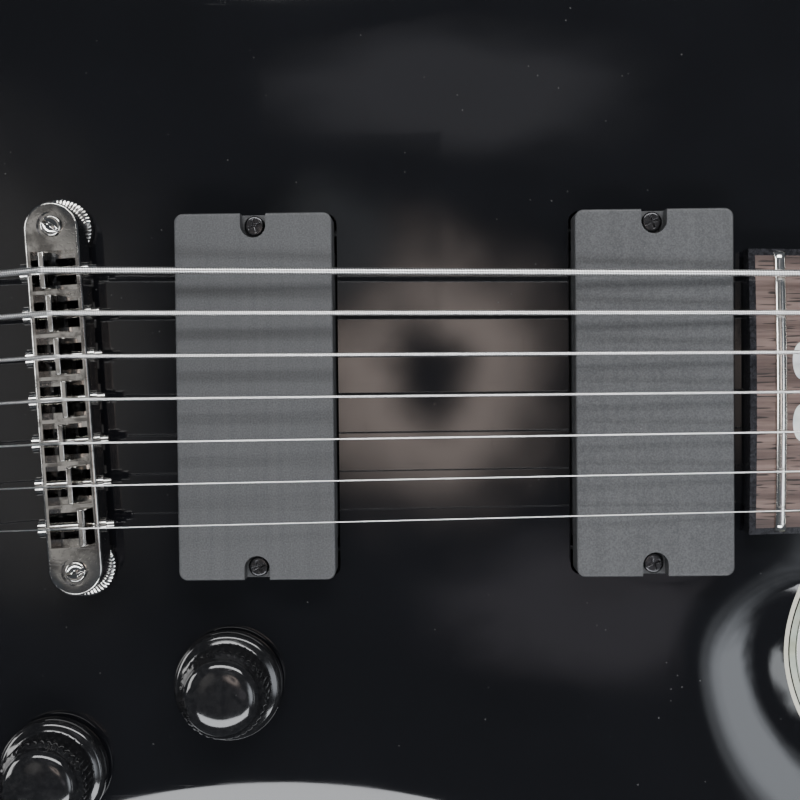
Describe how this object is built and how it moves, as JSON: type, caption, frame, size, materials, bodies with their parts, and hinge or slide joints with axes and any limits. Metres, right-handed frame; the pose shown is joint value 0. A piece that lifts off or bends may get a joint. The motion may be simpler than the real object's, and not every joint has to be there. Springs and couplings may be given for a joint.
{
  "type": "electric guitar",
  "caption": "Arched-top solid-body electric guitar with an extended-range neck, slanted bar bridge, two covered pickups, and working tuners, saddles, knobs and selector",
  "frame": {"origin": "on the centre line at the nut, on the glue plane between neck and fretboard", "axes": "+Z along the neck from body to headstock, -Y out of the face, +X towards the treble side"},
  "size_m": [0.3281, 0.0855, 1.0481],
  "materials": {
    "gloss_black": "solid black polished lacquer over mahogany",
    "edge_binding": "cream pearl strip with a black line, under gloss lacquer",
    "gloss_neck": "solid black polished lacquer over maple",
    "rosewood": "oiled open-pored rosewood",
    "black_plastic": "polished black plastic",
    "fret_wire": "polished nickel silver",
    "pearl": "pearl",
    "graphite_nut": "moulded graphite",
    "plain_steel": "zinc-plated steel",
    "pickup_plastic": "satin moulded plastic",
    "coil": "potted coils",
    "nickel": "black nickel plating, worn bright",
    "string_nickel": "nickel-plated round-wound wire",
    "string_steel": "bright plain steel",
    "black_nickel": "black nickel plating",
    "battery_case": "plain metal-cased battery",
    "wire_jacket": "insulated wire",
    "knob_black": "ribbed black knob with polished dome"
  },
  "bodies": {
    "root": {"body": "gloss_black", "top_binding": "edge_binding", "neck": "gloss_neck", "fretboard": "rosewood", "fretboard_binding": "black_plastic", "frets": "fret_wire", "inlays": "pearl", "nut": "graphite_nut", "truss_rod": "plain_steel", "truss_rod_cover": "black_plastic", "bridge_pickup_cover": "pickup_plastic", "neck_pickup_cover": "pickup_plastic", "pickup_coils": "coil", "pickup_mounting": "plain_steel", "bridge_frame": "nickel", "bridge_posts": "nickel", "body_ferrules": "nickel", "wound_strings": "string_nickel", "plain_strings": "string_steel", "tuner_housings": "black_nickel", "potentiometers": "plain_steel", "toggle_switch": "black_nickel", "output_jack": "black_nickel", "control_cover": "black_plastic", "body_screws": "black_nickel", "battery": "battery_case", "strap_buttons": "black_nickel", "wiring": "wire_jacket"},
    "tuner_button_1": {"tuner_button_1": "black_nickel"},
    "tuner_post_1": {"tuner_post_1": "black_nickel"},
    "saddle_1": {"saddle_1": "nickel"},
    "saddle_screw_1": {"saddle_screw_1": "nickel"},
    "tuner_button_2": {"tuner_button_2": "black_nickel"},
    "tuner_post_2": {"tuner_post_2": "black_nickel"},
    "saddle_2": {"saddle_2": "nickel"},
    "saddle_screw_2": {"saddle_screw_2": "nickel"},
    "tuner_button_3": {"tuner_button_3": "black_nickel"},
    "tuner_post_3": {"tuner_post_3": "black_nickel"},
    "saddle_3": {"saddle_3": "nickel"},
    "saddle_screw_3": {"saddle_screw_3": "nickel"},
    "tuner_button_4": {"tuner_button_4": "black_nickel"},
    "tuner_post_4": {"tuner_post_4": "black_nickel"},
    "saddle_4": {"saddle_4": "nickel"},
    "saddle_screw_4": {"saddle_screw_4": "nickel"},
    "tuner_button_5": {"tuner_button_5": "black_nickel"},
    "tuner_post_5": {"tuner_post_5": "black_nickel"},
    "saddle_5": {"saddle_5": "nickel"},
    "saddle_screw_5": {"saddle_screw_5": "nickel"},
    "tuner_button_6": {"tuner_button_6": "black_nickel"},
    "tuner_post_6": {"tuner_post_6": "black_nickel"},
    "saddle_6": {"saddle_6": "nickel"},
    "saddle_screw_6": {"saddle_screw_6": "nickel"},
    "tuner_button_7": {"tuner_button_7": "black_nickel"},
    "tuner_post_7": {"tuner_post_7": "black_nickel"},
    "saddle_7": {"saddle_7": "nickel"},
    "saddle_screw_7": {"saddle_screw_7": "nickel"},
    "volume_knob_1": {"volume_knob_1": "knob_black"},
    "volume_knob_2": {"volume_knob_2": "knob_black"},
    "tone_knob": {"tone_knob": "knob_black"},
    "toggle_lever": {"toggle_lever": "black_nickel"}
  },
  "joints": [
    {"name": "tuner_button_1_turn", "type": "hinge", "parent": "root", "child": "tuner_button_1", "pos_m": [-0.024, 0.02941, 0.04974], "axis": [-1, 0, 0], "continuous": true},
    {"name": "tuner_post_1_turn", "type": "hinge", "parent": "root", "child": "tuner_post_1", "pos_m": [-0.024, 0.0093, 0.04599], "axis": [0, -0.9759, 0.2181], "continuous": true},
    {"name": "saddle_1_slide", "type": "slide", "parent": "root", "child": "saddle_1", "axis": [-0.055, 0, 0.9985], "range_m": [-0.00125, 0.00545], "deforming": ["wound_strings"]},
    {"name": "saddle_screw_1_turn", "type": "hinge", "parent": "root", "child": "saddle_screw_1", "pos_m": [-0.03095, -0.02187, -0.6793], "axis": [-0.055, 0, 0.9985], "range_deg": [-901, 3925]},
    {"name": "tuner_button_2_turn", "type": "hinge", "parent": "root", "child": "tuner_button_2", "pos_m": [-0.0225, 0.03573, 0.07804], "axis": [-1, 0, 0], "continuous": true},
    {"name": "tuner_post_2_turn", "type": "hinge", "parent": "root", "child": "tuner_post_2", "pos_m": [-0.0225, 0.01563, 0.07429], "axis": [0, -0.9759, 0.2181], "continuous": true},
    {"name": "saddle_2_slide", "type": "slide", "parent": "root", "child": "saddle_2", "axis": [-0.055, 0, 0.9985], "range_m": [-0.00255, 0.00415], "deforming": ["wound_strings"]},
    {"name": "saddle_screw_2_turn", "type": "hinge", "parent": "root", "child": "saddle_screw_2", "pos_m": [-0.02064, -0.02187, -0.67874], "axis": [-0.055, 0, 0.9985], "range_deg": [-1837, 2989]},
    {"name": "tuner_button_3_turn", "type": "hinge", "parent": "root", "child": "tuner_button_3", "pos_m": [-0.0205, 0.04206, 0.10634], "axis": [-1, 0, 0], "continuous": true},
    {"name": "tuner_post_3_turn", "type": "hinge", "parent": "root", "child": "tuner_post_3", "pos_m": [-0.0205, 0.02195, 0.10259], "axis": [0, -0.9759, 0.2181], "continuous": true},
    {"name": "saddle_3_slide", "type": "slide", "parent": "root", "child": "saddle_3", "axis": [-0.055, 0, 0.9985], "range_m": [-0.00375, 0.00295], "deforming": ["wound_strings"]},
    {"name": "saddle_screw_3_turn", "type": "hinge", "parent": "root", "child": "saddle_screw_3", "pos_m": [-0.01032, -0.02187, -0.67817], "axis": [-0.055, 0, 0.9985], "range_deg": [-2701, 2125]},
    {"name": "tuner_button_4_turn", "type": "hinge", "parent": "root", "child": "tuner_button_4", "pos_m": [-0.018, 0.04838, 0.13465], "axis": [-1, 0, 0], "continuous": true},
    {"name": "tuner_post_4_turn", "type": "hinge", "parent": "root", "child": "tuner_post_4", "pos_m": [-0.018, 0.02828, 0.13089], "axis": [0, -0.9759, 0.2181], "continuous": true},
    {"name": "saddle_4_slide", "type": "slide", "parent": "root", "child": "saddle_4", "axis": [-0.055, 0, 0.9985], "range_m": [-0.0047, 0.002], "deforming": ["wound_strings"]},
    {"name": "saddle_screw_4_turn", "type": "hinge", "parent": "root", "child": "saddle_screw_4", "pos_m": [0, -0.02187, -0.6776], "axis": [-0.055, 0, 0.9985], "range_deg": [-3385, 1441]},
    {"name": "tuner_button_5_turn", "type": "hinge", "parent": "root", "child": "tuner_button_5", "pos_m": [0.0205, 0.04206, 0.10634], "axis": [1, 0, 0], "continuous": true},
    {"name": "tuner_post_5_turn", "type": "hinge", "parent": "root", "child": "tuner_post_5", "pos_m": [0.0205, 0.02195, 0.10259], "axis": [0, -0.9759, 0.2181], "continuous": true},
    {"name": "saddle_5_slide", "type": "slide", "parent": "root", "child": "saddle_5", "axis": [-0.055, 0, 0.9985], "range_m": [-0.00315, 0.00355], "deforming": ["plain_strings"]},
    {"name": "saddle_screw_5_turn", "type": "hinge", "parent": "root", "child": "saddle_screw_5", "pos_m": [0.01032, -0.02187, -0.67703], "axis": [-0.055, 0, 0.9985], "range_deg": [-2269, 2557]},
    {"name": "tuner_button_6_turn", "type": "hinge", "parent": "root", "child": "tuner_button_6", "pos_m": [0.0225, 0.03573, 0.07804], "axis": [1, 0, 0], "continuous": true},
    {"name": "tuner_post_6_turn", "type": "hinge", "parent": "root", "child": "tuner_post_6", "pos_m": [0.0225, 0.01563, 0.07429], "axis": [0, -0.9759, 0.2181], "continuous": true},
    {"name": "saddle_6_slide", "type": "slide", "parent": "root", "child": "saddle_6", "axis": [-0.055, 0, 0.9985], "range_m": [-0.00435, 0.00235], "deforming": ["plain_strings"]},
    {"name": "saddle_screw_6_turn", "type": "hinge", "parent": "root", "child": "saddle_screw_6", "pos_m": [0.02064, -0.02187, -0.67646], "axis": [-0.055, 0, 0.9985], "range_deg": [-3133, 1693]},
    {"name": "tuner_button_7_turn", "type": "hinge", "parent": "root", "child": "tuner_button_7", "pos_m": [0.024, 0.02941, 0.04974], "axis": [1, 0, 0], "continuous": true},
    {"name": "tuner_post_7_turn", "type": "hinge", "parent": "root", "child": "tuner_post_7", "pos_m": [0.024, 0.0093, 0.04599], "axis": [0, -0.9759, 0.2181], "continuous": true},
    {"name": "saddle_7_slide", "type": "slide", "parent": "root", "child": "saddle_7", "axis": [-0.055, 0, 0.9985], "range_m": [-0.00615, 0.00055], "deforming": ["plain_strings"]},
    {"name": "saddle_screw_7_turn", "type": "hinge", "parent": "root", "child": "saddle_screw_7", "pos_m": [0.03095, -0.02187, -0.6759], "axis": [-0.055, 0, 0.9985], "range_deg": [-4429, 397]},
    {"name": "volume_knob_1_turn", "type": "hinge", "parent": "root", "child": "volume_knob_1", "pos_m": [0.0715, -0.01231, -0.64], "axis": [0, -1, 0], "range_deg": [-140, 140]},
    {"name": "volume_knob_2_turn", "type": "hinge", "parent": "root", "child": "volume_knob_2", "pos_m": [0.093, -0.01231, -0.684], "axis": [0, -1, 0], "range_deg": [-140, 140]},
    {"name": "tone_knob_turn", "type": "hinge", "parent": "root", "child": "tone_knob", "pos_m": [0.104, -0.01231, -0.732], "axis": [0, -1, 0], "range_deg": [-140, 140]},
    {"name": "toggle_lever_swing", "type": "hinge", "parent": "root", "child": "toggle_lever", "pos_m": [0.07, -0.00631, -0.716], "axis": [1, 0, 0], "range_deg": [-13, 13]}
  ],
  "couplings": [
    {"joint": "tuner_post_1_turn", "follows": "tuner_button_1_turn", "ratio": -0.0625},
    {"joint": "saddle_screw_1_turn", "follows": "saddle_1_slide", "rad_per_m": 12566},
    {"joint": "tuner_post_2_turn", "follows": "tuner_button_2_turn", "ratio": -0.0625},
    {"joint": "saddle_screw_2_turn", "follows": "saddle_2_slide", "rad_per_m": 12566},
    {"joint": "tuner_post_3_turn", "follows": "tuner_button_3_turn", "ratio": -0.0625},
    {"joint": "saddle_screw_3_turn", "follows": "saddle_3_slide", "rad_per_m": 12566},
    {"joint": "tuner_post_4_turn", "follows": "tuner_button_4_turn", "ratio": -0.0625},
    {"joint": "saddle_screw_4_turn", "follows": "saddle_4_slide", "rad_per_m": 12566},
    {"joint": "tuner_post_5_turn", "follows": "tuner_button_5_turn", "ratio": 0.0625},
    {"joint": "saddle_screw_5_turn", "follows": "saddle_5_slide", "rad_per_m": 12566},
    {"joint": "tuner_post_6_turn", "follows": "tuner_button_6_turn", "ratio": 0.0625},
    {"joint": "saddle_screw_6_turn", "follows": "saddle_6_slide", "rad_per_m": 12566},
    {"joint": "tuner_post_7_turn", "follows": "tuner_button_7_turn", "ratio": 0.0625},
    {"joint": "saddle_screw_7_turn", "follows": "saddle_7_slide", "rad_per_m": 12566}
  ]
}
